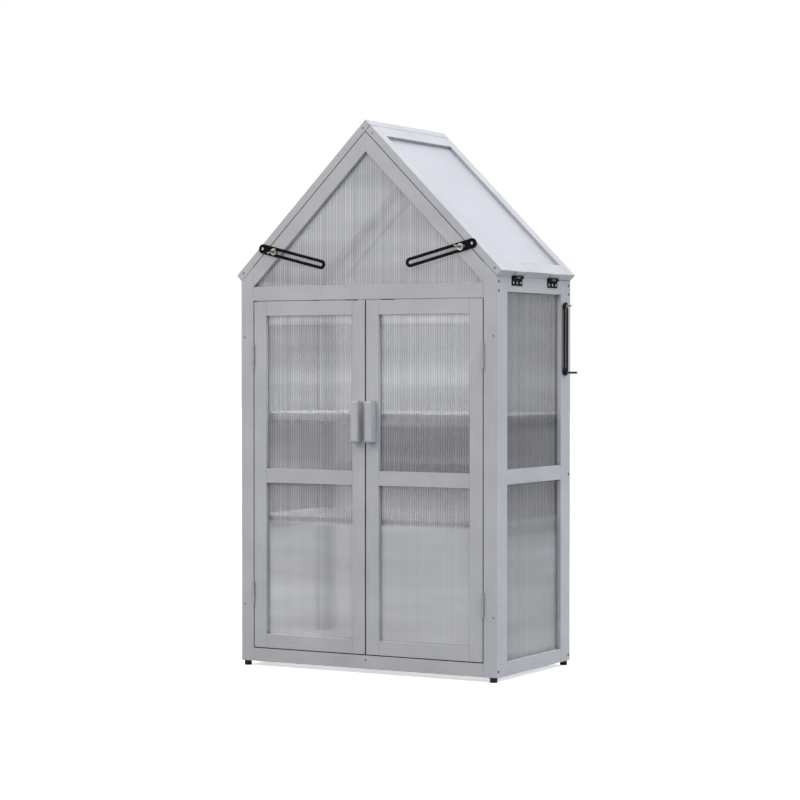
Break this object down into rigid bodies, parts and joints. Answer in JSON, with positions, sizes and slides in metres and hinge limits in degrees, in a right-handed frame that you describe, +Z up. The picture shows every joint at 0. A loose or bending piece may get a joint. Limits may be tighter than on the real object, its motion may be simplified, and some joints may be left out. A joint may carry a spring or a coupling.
{
  "type": "garden greenhouse",
  "caption": "Upright garden greenhouse cabinet with twin-wall sheet walls, hinged double doors, slatted shelves and a gable roof whose leaves open on slotted stays.",
  "frame": {"origin": "floor level, below the centre of the bounding box in plan", "axes": "+Z up, -Y towards the doors, +X to the right of someone facing the doors"},
  "size_m": [0.849, 0.457, 1.4493],
  "materials": {
    "painted_wood": "satin light grey paint over softwood",
    "shelf_wood": "matt light grey paint over softwood",
    "twin_wall_sheet": "clear twin-wall sheet",
    "black_hardware": "black coated steel",
    "grey_hinge": "grey paint on steel",
    "zinc_bolt": "zinc plated",
    "brass_nut": "yellow passivated",
    "catch_plastic": "matt",
    "foot_rubber": "matt"
  },
  "bodies": {
    "frame": {"front_post_left": "painted_wood", "front_post_right": "painted_wood", "front_rails": "painted_wood", "front_rafters": "painted_wood", "back_post_left": "painted_wood", "back_post_right": "painted_wood", "back_rails": "painted_wood", "back_rafters": "painted_wood", "upper_shelf_slats": "shelf_wood", "lower_shelf_slats": "shelf_wood", "shelf_cleats": "shelf_wood", "floor_slats": "shelf_wood", "floor_bearers": "shelf_wood", "front_gable_panel": "twin_wall_sheet", "back_gable_panel": "twin_wall_sheet", "back_panels": "twin_wall_sheet", "feet": "foot_rubber", "door_hinge_frame_leaves": "grey_hinge", "roof_hinge_frame_leaves": "black_hardware", "stay_bolts": "zinc_bolt", "door_catches": "catch_plastic", "left_side_stiles": "painted_wood", "left_side_rails": "painted_wood", "left_side_panels": "twin_wall_sheet", "right_side_stiles": "painted_wood", "right_side_rails": "painted_wood", "right_side_panels": "twin_wall_sheet"},
    "left_door": {"left_door_stiles": "painted_wood", "left_door_rails": "painted_wood", "left_door_panels": "twin_wall_sheet", "left_door_handle": "painted_wood", "left_door_strike": "zinc_bolt", "left_door_hinge_leaves": "grey_hinge"},
    "left_roof_leaf": {"left_roof_stiles": "painted_wood", "left_roof_rails": "painted_wood", "left_roof_panel": "twin_wall_sheet", "left_roof_hinge_leaves": "black_hardware"},
    "left_stay_washer": {"left_stay_washer": "zinc_bolt"},
    "left_front_stay": {"left_front_stay": "black_hardware"},
    "left_side_stay": {"left_side_stay": "black_hardware", "left_side_loose_bolt": "zinc_bolt"},
    "left_front_wing_nut": {"left_front_wing_nut": "brass_nut"},
    "left_side_wing_nut": {"left_side_wing_nut": "brass_nut"},
    "right_door": {"right_door_stiles": "painted_wood", "right_door_rails": "painted_wood", "right_door_panels": "twin_wall_sheet", "right_door_handle": "painted_wood", "right_door_strike": "zinc_bolt", "right_door_hinge_leaves": "grey_hinge"},
    "right_roof_leaf": {"right_roof_stiles": "painted_wood", "right_roof_rails": "painted_wood", "right_roof_panel": "twin_wall_sheet", "right_roof_hinge_leaves": "black_hardware"},
    "right_stay_washer": {"right_stay_washer": "zinc_bolt"},
    "right_front_stay": {"right_front_stay": "black_hardware"},
    "right_side_stay": {"right_side_stay": "black_hardware", "right_side_loose_bolt": "zinc_bolt"},
    "right_front_wing_nut": {"right_front_wing_nut": "brass_nut"},
    "right_side_wing_nut": {"right_side_wing_nut": "brass_nut"}
  },
  "joints": [
    {"name": "left_door_hinge", "type": "hinge", "parent": "frame", "child": "left_door", "pos_m": [-0.34675, -0.20685, 0.5], "axis": [0, 0, -1], "range_deg": [0, 170]},
    {"name": "left_roof_hinge", "type": "hinge", "parent": "frame", "child": "left_roof_leaf", "pos_m": [-0.38935, 0, 1.03361], "axis": [0, -1, 0], "range_deg": [0, 85]},
    {"name": "left_stay_turn", "type": "hinge", "parent": "frame", "child": "left_stay_washer", "pos_m": [-0.28206, -0.2035, 1.11066], "axis": [0, -1, 0], "range_deg": [0, 13]},
    {"name": "left_stay_slide", "type": "slide", "parent": "left_stay_washer", "child": "left_front_stay", "axis": [-0.9701, 0, 0.2425], "range_m": [0, 0.152]},
    {"name": "left_side_stay_swing", "type": "hinge", "parent": "frame", "child": "left_side_stay", "pos_m": [-0.392, 0.1895, 0.965], "axis": [1, 0, 0], "range_deg": [-90, 90]},
    {"name": "left_front_wing_nut_turn", "type": "hinge", "parent": "frame", "child": "left_front_wing_nut", "pos_m": [-0.28206, -0.2035, 1.11066], "axis": [0, 1, 0], "continuous": true},
    {"name": "left_side_wing_nut_turn", "type": "hinge", "parent": "frame", "child": "left_side_wing_nut", "pos_m": [-0.392, 0.1895, 0.965], "axis": [1, 0, 0], "continuous": true},
    {"name": "right_door_hinge", "type": "hinge", "parent": "frame", "child": "right_door", "pos_m": [0.34675, -0.20685, 0.5], "axis": [0, 0, 1], "range_deg": [0, 170]},
    {"name": "right_roof_hinge", "type": "hinge", "parent": "frame", "child": "right_roof_leaf", "pos_m": [0.38935, 0, 1.03361], "axis": [0, 1, 0], "range_deg": [0, 85]},
    {"name": "right_stay_turn", "type": "hinge", "parent": "frame", "child": "right_stay_washer", "pos_m": [0.28206, -0.2035, 1.11066], "axis": [0, 1, 0], "range_deg": [0, 13]},
    {"name": "right_stay_slide", "type": "slide", "parent": "right_stay_washer", "child": "right_front_stay", "axis": [0.9701, 0, 0.2425], "range_m": [0, 0.152]},
    {"name": "right_side_stay_swing", "type": "hinge", "parent": "frame", "child": "right_side_stay", "pos_m": [0.392, 0.1895, 0.965], "axis": [1, 0, 0], "range_deg": [-90, 90]},
    {"name": "right_front_wing_nut_turn", "type": "hinge", "parent": "frame", "child": "right_front_wing_nut", "pos_m": [0.28206, -0.2035, 1.11066], "axis": [0, 1, 0], "continuous": true},
    {"name": "right_side_wing_nut_turn", "type": "hinge", "parent": "frame", "child": "right_side_wing_nut", "pos_m": [0.392, 0.1895, 0.965], "axis": [1, 0, 0], "continuous": true}
  ],
  "couplings": [
    {"joint": "left_stay_turn", "follows": "left_roof_hinge", "ratio": 0.15253},
    {"joint": "left_stay_slide", "follows": "left_roof_hinge", "m_per_rad": 0.10189},
    {"joint": "right_stay_turn", "follows": "right_roof_hinge", "ratio": 0.15253},
    {"joint": "right_stay_slide", "follows": "right_roof_hinge", "m_per_rad": 0.10189}
  ]
}
